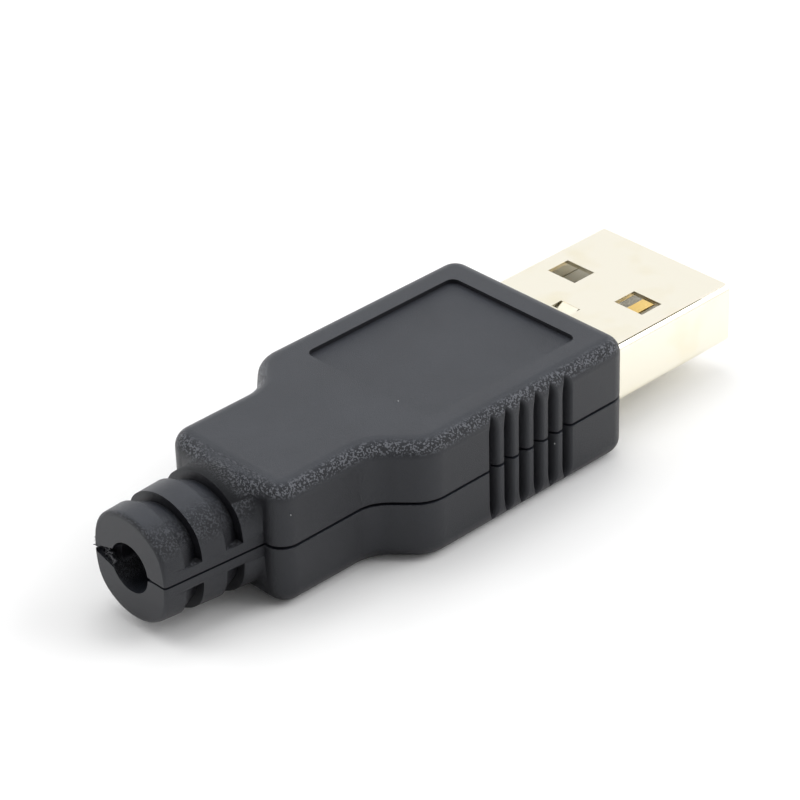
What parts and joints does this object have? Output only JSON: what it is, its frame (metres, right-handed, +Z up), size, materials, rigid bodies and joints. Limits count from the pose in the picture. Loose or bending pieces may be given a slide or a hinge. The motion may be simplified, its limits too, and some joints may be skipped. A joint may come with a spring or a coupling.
{
  "type": "usb type a plug for soldering to a cable",
  "caption": "USB type A plug with a two-half clip-together black cover, ribbed finger grips, a ring-grooved cable boot and a folded metal shell.",
  "frame": {"origin": "middle of the whole plug's length and width, on the cover's flat underside", "axes": "+X out of the metal plug's mouth, +Z up through the cover's top face, +Y across the plug"},
  "size_m": [0.0478, 0.016, 0.0088],
  "materials": {
    "cover_plastic": "black moulded plastic, finely grained",
    "plated_steel": "bright nickel plating with a warm tint",
    "white_plastic": "plain white moulding",
    "contact_metal": "thin gold plating"
  },
  "bodies": {
    "root": {"upper_cover": "cover_plastic", "lower_cover": "cover_plastic", "plug_shell": "plated_steel", "insulator": "white_plastic", "contact_lock": "white_plastic", "contact_power": "contact_metal", "contact_data_minus": "contact_metal", "contact_data_plus": "contact_metal", "contact_ground": "contact_metal"}
  },
  "joints": []
}
